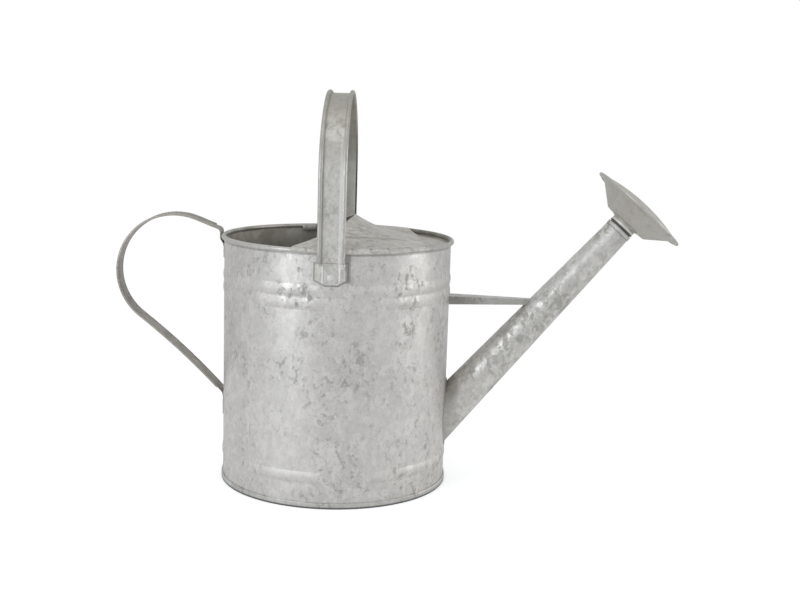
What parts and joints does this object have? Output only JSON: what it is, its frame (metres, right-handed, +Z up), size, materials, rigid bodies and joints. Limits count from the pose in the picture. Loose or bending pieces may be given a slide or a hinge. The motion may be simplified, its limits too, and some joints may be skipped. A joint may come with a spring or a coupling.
{
  "type": "watering can",
  "caption": "Galvanised sheet-steel watering can with a half hood, a carrying strap, a tipping strap behind and a braced, tapered spout with a pull-off sprinkling rose.",
  "frame": {"origin": "on the body's axis at the plane of the base ring that the can stands on", "axes": "+Z up along the body's axis, +X towards the spout, +Y across, under the carrying strap's span"},
  "size_m": [0.5152, 0.2218, 0.3596],
  "materials": {
    "body_sheet": "galvanised, spangled",
    "hood_sheet": "galvanised, spangled",
    "strap_sheet": "galvanised, fine spangle",
    "spout_sheet": "galvanised, coarse mottle",
    "brace_sheet": "galvanised, fine spangle",
    "rose_sheet": "galvanised, even",
    "rivet_steel": "zinc plated",
    "wire_steel": "drawn wire"
  },
  "bodies": {
    "can": {"body_shell": "body_sheet", "base_pan": "body_sheet", "hood": "hood_sheet", "top_handle": "strap_sheet", "rear_handle": "strap_sheet", "spout_tube": "spout_sheet", "spout_brace": "brace_sheet", "top_handle_rivets": "rivet_steel", "rear_handle_rivets": "rivet_steel", "rim_wire": "wire_steel"},
    "rose": {"rose_neck": "rose_sheet", "rose_back": "rose_sheet", "rose_face": "rose_sheet"}
  },
  "joints": [
    {"name": "rose_pull", "type": "slide", "parent": "can", "child": "rose", "axis": [0.6578, 0, 0.7532], "range_m": [0, 0.035]}
  ]
}
